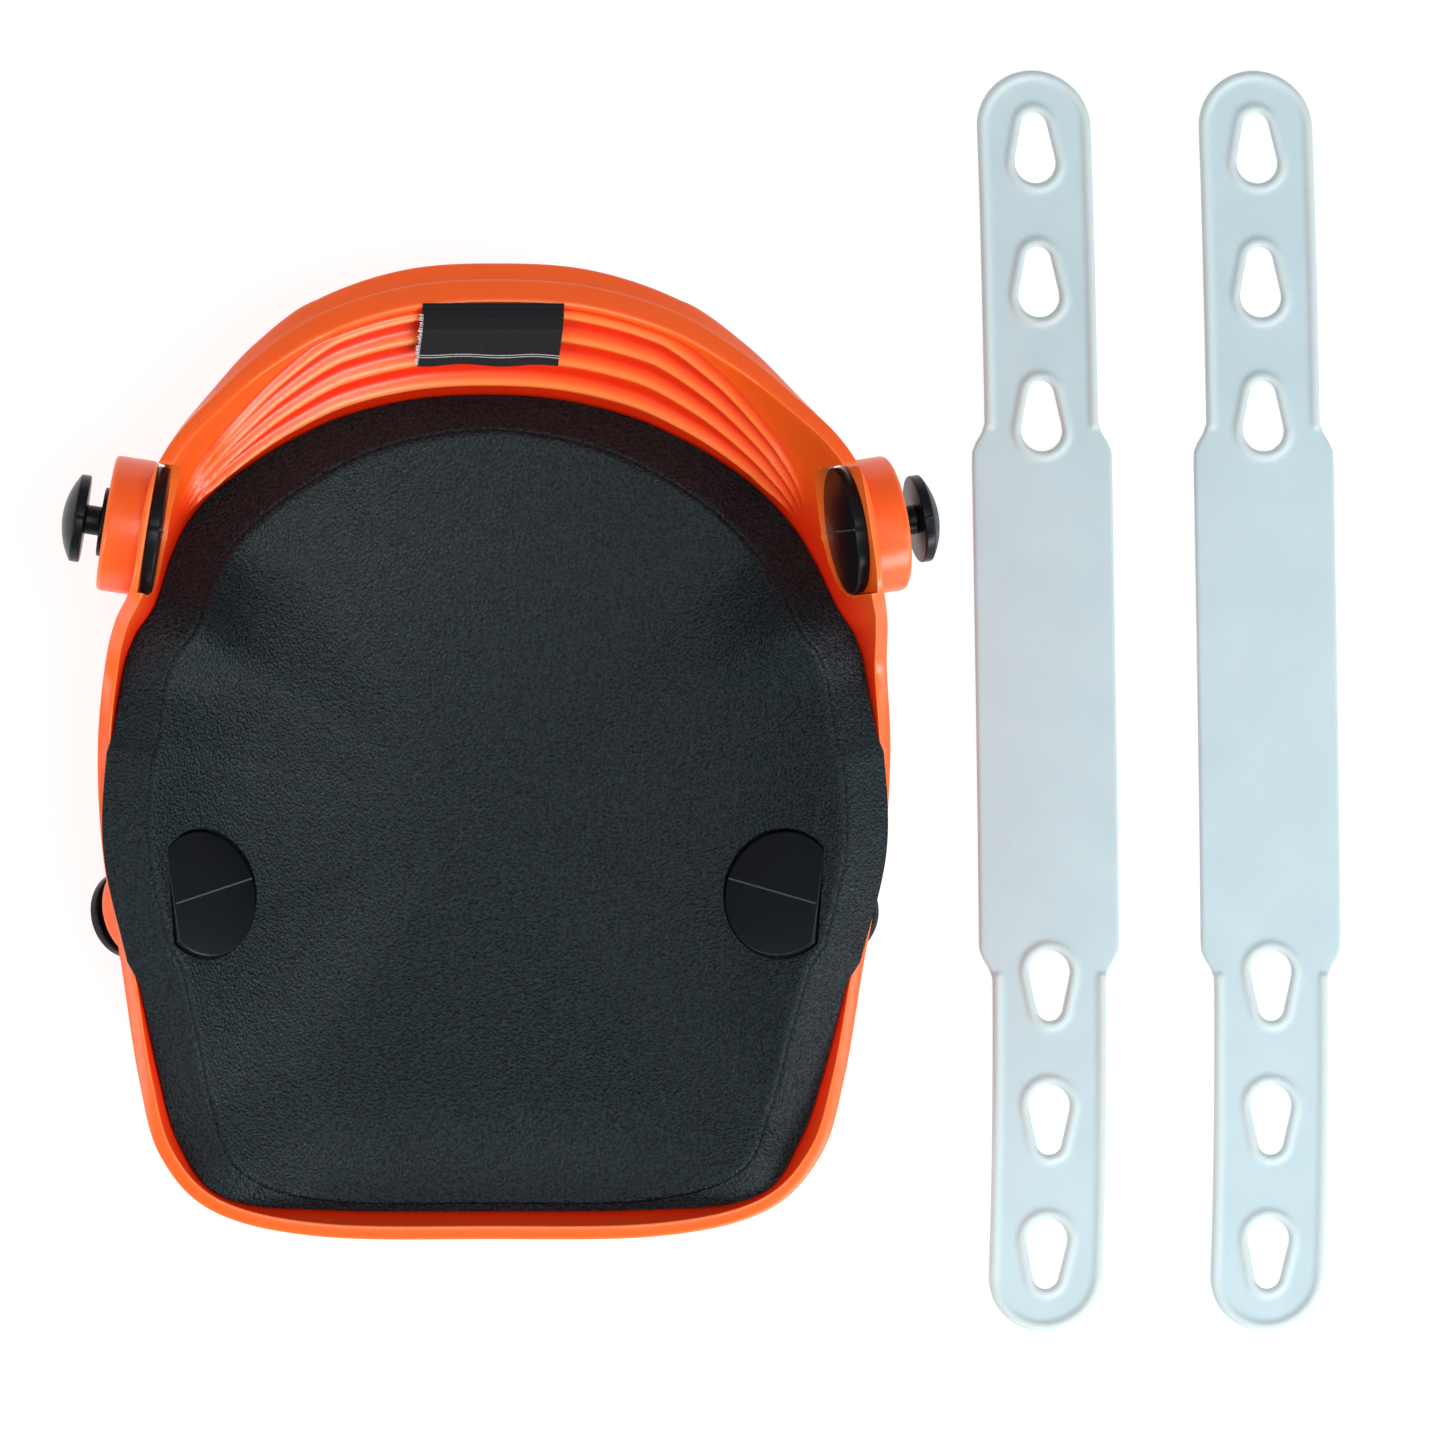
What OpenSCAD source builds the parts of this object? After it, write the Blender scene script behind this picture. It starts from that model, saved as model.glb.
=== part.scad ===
// Roofer's knee pad: a moulded rubber shell with a ribbed hood and two ears, a dished foam insert,
// four push-through studs, a woven label, and two slotted straps lying loose beside the pad.
// Frame: the origin is on the flat kneeling face, +Y runs towards the thigh and +Z away from the ground.

/* [Shell] */
// Thickness of the shell wall
wall = 3.4; // [3.0:0.1:3.8]
// Thickness of the sole under the foam
sole_t = 5; // [4:0.5:6]
// Share of the rim's outline that lies flat on the ground
sole_share = 0.56; // [0.5:0.01:0.58]
// Share of the rim's outline at which the side leaves the ground
belly_share = 0.70; // [0.68:0.01:0.74]
// Depth of the flexing ribs in the hood
rib_depth = 1.6; // [0.6:0.1:1.8]
// Number of ribs between the foam and the rim of the hood
rib_count = 4; // [3:1:5]
// How far the rolled lip of the crown stands out, as a share of its full size
lip_share = 1; // [0.5:0.05:1.1]

/* [Foam] */
// Gap between the foam and the shell
foam_gap = 0.3; // [0.2:0.05:0.5]
// Height of the foam at the bottom of its dish
dish_z = 30; // [24:1:34]

/* [Studs] */
// Radius of the disc that bears on the inside
disc_r = 15.25; // [14:0.25:15.5]
// Thickness of the disc
disc_t = 3; // [2.5:0.1:3.2]
// Radius of the stem inside the shell
stem_r = 4.5; // [4:0.1:5]
// Radius of the neck that a strap hooks over
neck_r = 3.5; // [3:0.1:3.8]
// Length of the neck
neck_len = 3.7; // [3.2:0.1:4.5]
// Radius of the flange on the outside of the boss
flange_r = 8.3; // [7.5:0.1:9]
// Thickness of the flange
flange_t = 1.2; // [1:0.1:1.6]
// Radius of the mushroom head
head_r = 10.5; // [9.5:0.1:11]
// Height of the mushroom head
head_t = 5.6; // [5:0.1:6.2]
// Radius of the round boss on each ear
ear_boss_r = 16.3; // [16:0.1:17]
// Radius of the boss round each lower stud
side_boss_r = 13; // [11:0.5:13.5]

/* [Straps] */
// Length of a strap
strap_len = 304; // [290:2:320]
// Width of a strap's slotted ends
strap_end_w = 27.6; // [26:0.2:29]
// Width of a strap's plain middle
strap_mid_w = 34; // [32:0.5:36]
// Length of the plain middle
strap_mid_len = 119; // [110:1:124]
// Thickness of a strap between its raised edges
strap_t = 2.2; // [1.8:0.1:2.6]
// Height of the raised edges
bead_h = 0.8; // [0.4:0.1:1.2]
// Pitch of the slots
slot_pitch = 32.3; // [30:0.1:33]

/* [Hidden] */
$fn = 64;
eps = 0.05;

// Centre that the sole and the foam shrink towards
centre = [0, -12];

// One row per station, from the crown round the right-hand side to the shin end:
// rim x, y and z, how far the wall leans in below the rim and over what drop,
// where the foam's edge comes on the wall (0 at the sole, 1 at the rim), the width and rise of
// the foam's bevelled border, how far the foam bulges out over the rim, and how far the crown's
// rolled lip stands out
half_net = [
    [0, 113.4, 62, 17, 20, 0.582, 8.9, 8, 0, 8.8],
    [21.7, 111.9, 63, 16, 20, 0.576, 9.7, 8, 0, 8.4],
    [42.1, 105.9, 66, 14, 22, 0.579, 10.5, 8, 0, 7],
    [57.7, 96.6, 71, 11, 26, 0.592, 11.3, 8, 0, 4.8],
    [69.6, 86.8, 77, 7, 32, 0.598, 11.8, 8, 0, 2.4],
    [79.3, 77.8, 83, 5, 44, 0.601, 12.2, 8, 0, 0.6],
    [85.5, 68, 86, 5, 50, 0.63, 12.3, 7.5, 0, 0],
    [88.5, 56, 86.5, 5, 50, 0.69, 11.8, 6.5, 0, 0],
    [90.4, 42, 84, 5, 46, 0.77, 11.4, 5.5, 0, 0],
    [93, 33, 69, 5, 32, 0.841, 10.8, 5.5, 0, 0],
    [94.2, 22, 56, 7, 23, 0.933, 10.6, 5.5, 0, 0],
    [95.4, 2, 52, 11, 18, 1, 11.2, 5.5, 0.8, 0],
    [94, -22, 50, 12, 17, 1, 11.1, 5.5, 2, 0],
    [89.5, -48, 48, 12, 17, 1, 10.8, 5.5, 1.2, 0],
    [85, -76, 46, 9, 16, 0.935, 12.2, 5.5, 0, 0],
    [79.5, -95, 43, 6, 16, 0.895, 11.7, 5, 0, 0],
    [66.5, -108.3, 41, 4, 15, 0.95, 7.8, 3, 0, 0],
    [41, -114.3, 40, 3, 14, 0.838, 2.5, 1.5, 0, 0],
    [0, -115, 39.5, 3, 14, 0.829, 2, 1.2, 0, 0]
];
last_station = len(half_net) - 1;
columns_per_station = 2;
columns = 2 * last_station * columns_per_station;

// Ribs and lip of the hood, in stations from the crown and in shares of the wall's height
rib_fade = [4.6, 6.2];
rib_top = [[0, 1], [2, 0.99], [3, 0.93], [4.6, 0.8], [6.2, 0.7]];
rib_start_gap = 0.015;
lip_profile = [[0.9, 0], [0.94, 0.9], [0.965, 1], [1, 0.12]];
lip_droop = 0.3;

// Wall shares at which the shell and the foam have a ring of points
low_rings = [0, 0.1, 0.2, 0.3, 0.4, 0.5];
hood_rings = [for (i = [0:16]) 0.56 + 0.02 * i];
top_rings = [0.9, 0.92, 0.94, 0.965, 1];
shell_shares = concat(low_rings, hood_rings, top_rings);
foam_shares = [0, 0.15, 0.3, 0.45, 0.6, 0.75, 0.9, 1];
dish_shares = [1, 0.85, 0.7, 0.5, 0.3];
brow_rise = 0.8;
bulge_rise = 0.5;
bulge_from = 0.99;
sole_blend = 0.3;

// Places of the studs on the right-hand side: seat of the disc, tilt of the axis from straight up,
// and turn about Z
ear_seat = [84.7, 55.3, 68.5];
ear_tilt = 97;
ear_turn = 9;
side_seat = [70.9, -32.5, 48.2];
side_tilt = 146;
side_turn = -17;
ear_stem = 10.4;
side_stem = 21.6;
disc_flat = 0.68 * disc_r;
disc_key_turn = -11;
side_boss_depth = 7.2;
spot_face_r = head_r + 0.6;
pocket_gap = 0.5;
stem_gap = 0.05;
seat_gap = 0.05;
boss_gap = 0.4;
ear_pocket_depth = 12;
ear_pocket_reach = 30;
foam_pocket_depth = 20;
cut_past = 3;

// Front and back of the label in section, from the lip down and back up, as y and z
label_front = [[109.3, 66.1], [103.6, 63.4], [95, 51.3]];
label_back = [[95.4, 51], [103.95, 63], [109.5, 65.6]];
label_w = 34;
label_x = -1.6;

arc_steps = 24;
slot_wide_r = 5;
slot_narrow_r = 3.15;
slot_len = 17;
slot_first = strap_mid_len / 2 + 9.2;
rim_w = 2.4;
flare_len = 7.5;
strap_x = [138.8, 192.6];
strap_y = 14.2;

function unit(v) = v / norm(v);
function mirrored(v) = [-v[0], for (i = [1:len(v) - 1]) v[i]];
function ramp(x, from, to) = min(1, max(0, (x - from) / (to - from)));
function smooth(x, from, to) = let (r = ramp(x, from, to)) r * r * (3 - 2 * r);

// Net row at a whole station, counted clockwise round the whole pad
function station(i) =
    let (k = (i + 2 * last_station) % (2 * last_station))
    k <= last_station ? half_net[k] : mirrored(half_net[2 * last_station - k]);

// Net row between stations, by a Catmull-Rom curve
function net_at(u) =
    let (i = floor(u), f = u - i,
         a = station(i - 1), b = station(i), c = station(i + 1), d = station(i + 2))
    0.5 * (2 * b + f * (c - a) + f * f * (2 * a - 5 * b + 4 * c - d) + f * f * f * (3 * b - a - 3 * c + d));

// Stations away from the crown, whichever side
function from_crown(u) = min(u, 2 * last_station - u);

function plan(s) = [s[0], s[1]];
function shrunk(s, share) = concat(centre + share * (plan(s) - centre), [0]);

// Point on the outside of the plain wall: a Bezier curve from the sole to the rim
function wall_point(u, t) =
    let (s = net_at(u), rim = [s[0], s[1], s[2]], lean = s[3] * unit(plan(s) - centre),
         below = rim - [lean[0], lean[1], s[4]], q = 1 - t)
    q * q * q * shrunk(s, sole_share) + 3 * q * q * t * shrunk(s, belly_share)
        + 3 * q * t * t * below + t * t * t * rim;

// Unit vector from the outside of the wall to its inside
function inward(u, t) =
    let (du = 0.05, dt = 0.02,
         round_way = wall_point(u + du, t) - wall_point(u - du, t),
         up_way = wall_point(u, min(1, t + dt)) - wall_point(u, max(0, t - dt)))
    unit(cross(round_way, up_way));

// How far the ribs push the wall inwards
function rib(u, t) =
    let (k = from_crown(u), x = ramp(t, net_at(u)[5] + rib_start_gap, lookup(k, rib_top)))
    rib_depth * (1 - smooth(k, rib_fade[0], rib_fade[1])) * 0.5 * (1 - cos(360 * rib_count * x));

// Offset of the crown's lip, which is rolled outwards and droops a little
function lip(u, t) =
    let (s = net_at(u), out = unit(plan(s) - centre),
         reach = max(0, s[9]) * lip_share * lookup(t, lip_profile))
    reach * [out[0], out[1], -lip_droop];

function wall_t(t) = sole_t + (wall - sole_t) * ramp(t, 0, sole_blend);

function outer_point(u, t) = wall_point(u, t) + rib(u, t) * inward(u, t) + lip(u, t);
function inner_point(u, t, gap) = wall_point(u, t) + (rib(u, t) + wall_t(t) + gap) * inward(u, t);

function column_u(i) = i / columns_per_station;

// The foam lies on the wall up to its edge, which bulges out over the rim low on the sides;
// its border rises to a ridge, and its middle is dished
function foam_bottom(u, share) = inner_point(u, share * min(1, net_at(u)[5]), foam_gap);
function foam_brow(u) =
    let (s = net_at(u), edge = foam_bottom(u, 1),
         out = unit(plan(edge) - centre), bulge = max(0, s[8]) * ramp(s[5], bulge_from, 1))
    edge + [bulge * out[0], bulge * out[1], brow_rise + bulge_rise * bulge];
function foam_top(u, share) =
    let (s = net_at(u), brow = foam_brow(u), out = unit(plan(brow) - centre),
         ridge = plan(brow) - s[6] * out, ridge_z = brow[2] + s[7],
         place = centre + share * (ridge - centre))
    [place[0], place[1], dish_z + (ridge_z - dish_z) * share * share];

// Closed solid through a stack of rings, with a flat or domed fan over each end
module ring_solid(rings, first, last) {
    n = len(rings[0]);
    m = len(rings);
    points = concat([for (r = rings) each r], [first, last]);
    sides = [for (j = [0:m - 2], i = [0:n - 1]) let (k = (i + 1) % n) each [
        [j * n + i, j * n + k, (j + 1) * n + k],
        [j * n + i, (j + 1) * n + k, (j + 1) * n + i]
    ]];
    first_fan = [for (i = [0:n - 1]) [m * n, (i + 1) % n, i]];
    last_fan = [for (i = [0:n - 1]) [m * n + 1, (m - 1) * n + i, (m - 1) * n + (i + 1) % n]];
    polyhedron(points, concat(sides, first_fan, last_fan), convexity = 10);
}

// Puts its children on the axis of a stud: +Z runs from the disc's seat out to the head
module at_ear(side) {
    mirror([side < 0 ? 1 : 0, 0, 0])
        translate(ear_seat)
            rotate([0, 0, ear_turn])
                rotate([0, ear_tilt, 0])
                    children();
}

module at_side(side) {
    mirror([side < 0 ? 1 : 0, 0, 0])
        translate(side_seat)
            rotate([0, 0, side_turn])
                rotate([0, side_tilt, 0])
                    children();
}

// Round disc with one flat, which keys it in the foam
module d_shape(r, flat) {
    rotate(disc_key_turn)
        difference() {
            circle(r);
            translate([-flat - 2 * r, -2 * r])
                square([2 * r, 4 * r]);
        }
}

module moulded_shell() {
    outside = [for (t = shell_shares) [for (i = [0:columns - 1]) outer_point(column_u(i), t)]];
    inside = [for (k = [len(shell_shares) - 1:-1:0])
        [for (i = [0:columns - 1]) inner_point(column_u(i), shell_shares[k], 0)]];
    ring_solid(concat(outside, inside), [centre[0], centre[1], 0], [centre[0], centre[1], sole_t]);
}

// U-shaped pocket in an ear, open at the rim, for the disc of an upper stud
module ear_pocket() {
    pocket_r = disc_r + pocket_gap;
    translate([0, 0, -ear_pocket_depth]) {
        cylinder(r = pocket_r, h = ear_pocket_depth);
        translate([-ear_pocket_reach, -pocket_r, 0])
            cube([ear_pocket_reach, 2 * pocket_r, ear_pocket_depth]);
    }
}

module shell() {
    color("orangered")
        difference() {
            union() {
                moulded_shell();
                for (side = [-1, 1]) {
                    at_ear(side) cylinder(r = ear_boss_r, h = ear_stem);
                    at_side(side)
                        translate([0, 0, side_stem - side_boss_depth])
                            cylinder(r = side_boss_r, h = side_boss_depth);
                }
            }
            for (side = [-1, 1]) {
                at_ear(side) ear_pocket();
                at_ear(side)
                    translate([0, 0, -cut_past])
                        cylinder(r = stem_r + stem_gap, h = ear_stem + 2 * cut_past);
                at_side(side) cylinder(r = stem_r + stem_gap, h = side_stem + cut_past);
                at_side(side)
                    translate([0, 0, side_stem])
                        cylinder(r = spot_face_r, h = cut_past);
            }
        }
}

module foam_insert() {
    under = [for (share = foam_shares) [for (i = [0:columns - 1]) foam_bottom(column_u(i), share)]];
    brow = [for (i = [0:columns - 1]) foam_brow(column_u(i))];
    over = [for (share = dish_shares) [for (i = [0:columns - 1]) foam_top(column_u(i), share)]];
    color("darkslategray")
        difference() {
            ring_solid(concat(under, [brow], over), [centre[0], centre[1], sole_t + foam_gap],
                       [centre[0], centre[1], dish_z]);
            for (side = [-1, 1])
                at_side(side) {
                    translate([0, 0, -foam_pocket_depth])
                        linear_extrude(foam_pocket_depth)
                            d_shape(disc_r + pocket_gap, disc_flat + pocket_gap);
                    translate([0, 0, -cut_past])
                        cylinder(r = stem_r + pocket_gap, h = side_stem);
                    translate([0, 0, side_stem - side_boss_depth - boss_gap])
                        cylinder(r = side_boss_r + boss_gap, h = side_boss_depth + boss_gap);
                }
        }
}

// Woven label that hangs from under the crown's lip, in front of the ribs
module label() {
    color([0.05, 0.05, 0.06])
        translate([label_x - label_w / 2, 0, 0])
            rotate([90, 0, 90])
                linear_extrude(label_w)
                    polygon(concat(label_front, label_back));
}

// Everything of a stud outside its seat, turned in one piece
module stud_shaft(stem_len) {
    flange_from = stem_len + seat_gap;
    neck_from = flange_from + flange_t;
    head_from = neck_from + neck_len;
    edge_t = 0.45 * head_t;
    dome_rise = head_t - edge_t;
    dome_r = (head_r * head_r + dome_rise * dome_rise) / (2 * dome_rise);
    translate([0, 0, -seat_gap - eps]) cylinder(r = stem_r, h = flange_from + seat_gap + 2 * eps);
    translate([0, 0, flange_from]) cylinder(r = flange_r, h = flange_t);
    translate([0, 0, neck_from - eps]) cylinder(r = neck_r, h = neck_len + 2 * eps);
    translate([0, 0, head_from]) {
        cylinder(r = head_r, h = edge_t);
        intersection() {
            translate([0, 0, head_t - dome_r]) sphere(r = dome_r, $fn = 96);
            translate([0, 0, edge_t - eps]) cylinder(r = head_r, h = head_t);
        }
    }
}

module stud_upper(side) {
    color([0.08, 0.09, 0.1])
        at_ear(side) {
            translate([0, 0, -disc_t - seat_gap]) cylinder(r = disc_r, h = disc_t);
            stud_shaft(ear_stem);
        }
}

module stud_lower(side) {
    color([0.08, 0.09, 0.1])
        at_side(side) {
            translate([0, 0, -disc_t - seat_gap])
                linear_extrude(disc_t)
                    d_shape(disc_r, disc_flat);
            stud_shaft(side_stem);
        }
}

module stud_upper_left() { stud_upper(-1); }
module stud_upper_right() { stud_upper(1); }
module stud_lower_left() { stud_lower(-1); }
module stud_lower_right() { stud_lower(1); }

function turned(points) = [for (p = points) -p];
function reversed(points) = [for (i = [len(points) - 1:-1:0]) points[i]];
function arc(centre_y, r, from, to) =
    [for (i = [0:arc_steps])
        let (a = from + (to - from) * i / arc_steps)
        [r * cos(a), centre_y + r * sin(a)]];

// Round tip of a strap, from right to left
function tip_arc(inset) = arc((strap_len - strap_end_w) / 2, strap_end_w / 2 - inset, 0, 180);

module strap_outline() {
    mid = strap_mid_len / 2;
    half = concat(
        [[strap_mid_w / 2, mid], [strap_end_w / 2, mid + flare_len]],
        tip_arc(0),
        [[-strap_end_w / 2, mid + flare_len], [-strap_mid_w / 2, mid]]
    );
    polygon(concat(half, turned(half)));
}

// Pear-shaped slot, wide towards the middle of the strap and narrow towards its tip
module pear(grow) {
    wide_y = slot_wide_r - slot_len / 2;
    narrow_y = slot_len / 2 - slot_narrow_r;
    lean = asin((slot_wide_r - slot_narrow_r) / (narrow_y - wide_y));
    polygon(concat(
        arc(narrow_y, slot_narrow_r + grow, lean, 180 - lean),
        arc(wide_y, slot_wide_r + grow, 180 - lean, 360 + lean)
    ));
}

// Raised bead along the edge of a strap's slotted end
module edge_bead() {
    start_y = strap_mid_len / 2 + flare_len;
    outer = strap_end_w / 2;
    inner = outer - rim_w;
    polygon(concat(
        [[outer, start_y]], tip_arc(0), [[-outer, start_y], [-inner, start_y]],
        reversed(tip_arc(rim_w)), [[inner, start_y]]
    ));
}

module at_slots() {
    for (way = [0, 180], k = [0:2])
        rotate(way)
            translate([0, slot_first + k * slot_pitch])
                children();
}

module strap(x) {
    color([0.77, 0.83, 0.85])
        translate([x, strap_y, 0]) {
            linear_extrude(strap_t)
                difference() {
                    strap_outline();
                    at_slots() pear(0);
                }
            linear_extrude(strap_t + bead_h) {
                for (way = [0, 180])
                    rotate(way)
                        edge_bead();
                difference() {
                    at_slots() pear(rim_w);
                    at_slots() pear(0);
                }
            }
        }
}

module strap_one() { strap(strap_x[0]); }
module strap_two() { strap(strap_x[1]); }

shell();
foam_insert();
label();
stud_upper_left();
stud_upper_right();
stud_lower_left();
stud_lower_right();
strap_one();
strap_two();
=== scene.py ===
import functools
import math

import bmesh
import bpy
import numpy as np
from mathutils import Matrix, Vector


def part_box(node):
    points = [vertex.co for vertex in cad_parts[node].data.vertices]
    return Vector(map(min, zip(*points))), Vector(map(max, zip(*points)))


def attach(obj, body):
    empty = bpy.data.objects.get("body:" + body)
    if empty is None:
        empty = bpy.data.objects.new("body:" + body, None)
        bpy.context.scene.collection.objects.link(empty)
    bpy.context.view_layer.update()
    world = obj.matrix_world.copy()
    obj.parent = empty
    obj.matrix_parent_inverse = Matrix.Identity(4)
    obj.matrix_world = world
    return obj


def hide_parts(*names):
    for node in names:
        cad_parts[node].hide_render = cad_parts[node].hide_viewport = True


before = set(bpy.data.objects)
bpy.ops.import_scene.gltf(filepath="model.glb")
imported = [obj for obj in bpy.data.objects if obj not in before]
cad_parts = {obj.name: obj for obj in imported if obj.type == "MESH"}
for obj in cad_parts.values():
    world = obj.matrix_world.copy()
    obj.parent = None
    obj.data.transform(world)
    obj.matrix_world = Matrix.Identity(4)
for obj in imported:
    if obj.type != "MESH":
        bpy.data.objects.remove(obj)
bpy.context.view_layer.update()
MM = 0.001

# ---------------------------------------------------------------- sizes in millimetres, as in the CAD

# Shell and foam
WALL = 3.4
SOLE_T = 5.0
SOLE_SHARE = 0.56
BELLY_SHARE = 0.70
RIB_DEPTH = 1.6
RIB_COUNT = 4
RIB_START_GAP = 0.015
LIP_DROOP = 0.3
BROW_RISE, BULGE_RISE, BULGE_FROM = 0.8, 0.5, 0.99
FOAM_GAP = 0.3
DISH_Z = 30.0
CENTRE = np.array([0.0, -12.0])

# The ribbed band's upper end, as a share of the wall's height, at these stations from the crown
RIB_TOP_STATIONS, RIB_TOP_SHARES = (0, 2, 3, 4.6, 6.2), (1, 0.99, 0.93, 0.8, 0.7)
# How far the lip stands out at these shares of the wall's height, as a part of its full reach
LIP_SHARES, LIP_PROFILE = (0.9, 0.94, 0.965, 1), (0, 0.9, 1, 0.12)

# Studs, their bosses and pockets
DISC_R, DISC_T = 15.25, 3.0
STEM_R = 4.5
NECK_R, NECK_LEN = 3.5, 3.7
FLANGE_R, FLANGE_T = 8.3, 1.2
HEAD_R, HEAD_T = 10.5, 5.6
HEAD_EDGE_T = 0.42 * HEAD_T
DISC_FLAT = 0.68 * DISC_R
DISC_KEY_TURN = -11
POCKET_GAP, SEAT_GAP = 0.5, 0.05
EAR_BOSS_R, EAR_STEM = 16.3, 10.4
SIDE_BOSS_R, SIDE_STEM, SIDE_BOSS_DEPTH = 13.0, 21.6, 7.2
EAR_BOSS_EDGE_R, SIDE_BOSS_EDGE_R = 1.4, 1.2
SPOT_FACE_R = HEAD_R + 0.6
# How far a cutter reaches past the face it opens
OVERSHOOT = 3
EAR_SEAT, EAR_TILT, EAR_TURN = (84.7, 55.3, 68.5), 97, 9
SIDE_SEAT, SIDE_TILT, SIDE_TURN = (70.9, -32.5, 48.2), 146, -17

# Straps, measured from their own middle
STRAP_LEN, STRAP_END_W, STRAP_MID_W, STRAP_MID_LEN = 304.0, 27.6, 34.0, 119.0
STRAP_T, BEAD_H, BEAD_W = 2.2, 0.8, 2.4
FLARE = 7.5
SLOT_WIDE_R, SLOT_NARROW_R, SLOT_LEN, SLOT_PITCH, SLOT_FIRST = 5.0, 3.15, 17.0, 32.3, 68.7
SLOTS_PER_END = 3

# One row per station from the crown round the right-hand side to the shin end: rim x, y, z, lean and drop
# of the wall below the rim, share of the wall at the foam's edge, width and rise of the foam's border,
# how far the foam bulges out over the rim, and how far the crown's lip stands out
HALF_NET = np.array([
    [0, 113.4, 62, 17, 20, 0.582, 8.9, 8, 0, 8.8],
    [21.7, 111.9, 63, 16, 20, 0.576, 9.7, 8, 0, 8.4],
    [42.1, 105.9, 66, 14, 22, 0.579, 10.5, 8, 0, 7],
    [57.7, 96.6, 71, 11, 26, 0.592, 11.3, 8, 0, 4.8],
    [69.6, 86.8, 77, 7, 32, 0.598, 11.8, 8, 0, 2.4],
    [79.3, 77.8, 83, 5, 44, 0.601, 12.2, 8, 0, 0.6],
    [85.5, 68, 86, 5, 50, 0.63, 12.3, 7.5, 0, 0],
    [88.5, 56, 86.5, 5, 50, 0.69, 11.8, 6.5, 0, 0],
    [90.4, 42, 84, 5, 46, 0.77, 11.4, 5.5, 0, 0],
    [93, 33, 69, 5, 32, 0.841, 10.8, 5.5, 0, 0],
    [94.2, 22, 56, 7, 23, 0.933, 10.6, 5.5, 0, 0],
    [95.4, 2, 52, 11, 18, 1, 11.2, 5.5, 0.8, 0],
    [94, -22, 50, 12, 17, 1, 11.1, 5.5, 2, 0],
    [89.5, -48, 48, 12, 17, 1, 10.8, 5.5, 1.2, 0],
    [85, -76, 46, 9, 16, 0.935, 12.2, 5.5, 0, 0],
    [79.5, -95, 43, 6, 16, 0.895, 11.7, 5, 0, 0],
    [66.5, -108.3, 41, 4, 15, 0.95, 7.8, 3, 0, 0],
    [41, -114.3, 40, 3, 14, 0.838, 2.5, 1.5, 0, 0],
    [0, -115, 39.5, 3, 14, 0.829, 2, 1.2, 0, 0],
])
LAST = len(HALF_NET) - 1
ROUND = 2 * LAST
MIRRORED = HALF_NET[LAST - 1:0:-1] * np.array([-1] + [1] * 9)
NET = np.concatenate([HALF_NET, MIRRORED])
# Columns of the net that follow the rim's x, y and z
LEAN, DROP, FOAM_SHARE, BORDER_W, BORDER_RISE, BULGE, LIP_REACH = range(3, 10)

# ---------------------------------------------------------------- shapes finer than the CAD, in millimetres

# Higher values make the crests of the ribs narrower
RIB_NARROWING = 1.9
# Inward roll of the crown's rim, the stations over which it fades and the shares of the wall where it grows
CROWN_BEAD = 1.3
BEAD_STATIONS, BEAD_SHARES = (1.5, 4), (0.955, 0.985)
# Grip grooves across the sole
SOLE_GROOVES_Y = range(-60, 49, 12)
SOLE_GROOVE_W, SOLE_GROOVE_REACH, SOLE_GROOVE_DEPTH = 2.4, 44.0, 1.1
SOLE_MIDDLE_Y, SOLE_HALF_LEN = -6, 64

# The foam swells this many times as far over the rim as in the CAD
BULGE_FULLNESS = 1.7
# Groove where the foam's border meets its dished top: place and spread as shares of the border's width
BORDER_GROOVE_DEPTH, BORDER_GROOVE_AT, BORDER_GROOVE_SPREAD = 0.55, 0.94, 0.045
BORDER_RINGS = 28
# How steeply the dish rises to the border, and how much its height is evened out round the pad
DISH_POWER, CALM_ROUNDS = 2.1, 900
# Short creases beside the left lower stud: start, end, width and depth
CREASES = (((-84.5, -36.5), (-80.5, -39.5), 1.1, 0.7), ((-83, -42), (-79.5, -43), 1.0, 0.4))

# Mould marks on the studs, round the shaft and across the disc: rise, and half the width in degrees or mm
SEAM_RISE, SEAM_HALF_ANGLE = 0.12, 0.9
FLASH_RISE, FLASH_HALF_W = 0.22, 0.22
STUD_EDGE_R = 0.5

# Sideways bow of a loose strap, as x at each y
BOW_Y = (-150, -96, -72, -24, 0, 24, 72, 120, 150)
BOW_X = (-0.6, 0.7, 0.85, 0.48, 0.0, -0.45, -1.3, -2.2, -3.5)
STRAP_EDGE_R, STRAP_VOXEL = 0.5, 0.5

LABEL_W, LABEL_DROP, LABEL_T, LABEL_X = 34.0, 22.0, 0.35, -1.6
# Section of the label's back as (y, z), from the lip down over the crests of the ribs
LABEL_PATH = np.array([(109.4, 66.0), (106.6, 65.3), (103.6, 63.2), (99.2, 57.2), (94.9, 51.1)])
# Directions away from the ribs and down along them
LABEL_OUT, LABEL_DOWN = np.array([0, -0.8, 0.6]), np.array([0, -0.6, -0.8])
THREAD_R = 0.12
# Lower and upper end in z of the band in which the label's stripes lie
STRIPES_Z = (52, 57)


# ---------------------------------------------------------------- helpers

def ramp(x, start, end):
    """0 up to start, 1 from end on, and straight between."""
    return np.clip((x - start) / (end - start), 0, 1)


def smooth(x, start, end):
    """The same as ramp, with soft ends."""
    r = ramp(x, start, end)
    return r * r * (3 - 2 * r)


def new_object(name, data):
    obj = bpy.data.objects.new(name, data)
    bpy.context.scene.collection.objects.link(obj)
    return obj


def mesh_object(name, points_mm, faces):
    mesh = bpy.data.meshes.new(name)
    mesh.from_pydata([tuple(p) for p in np.asarray(points_mm) * MM], [], faces)
    mesh.validate()
    return new_object(name, mesh)


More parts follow.
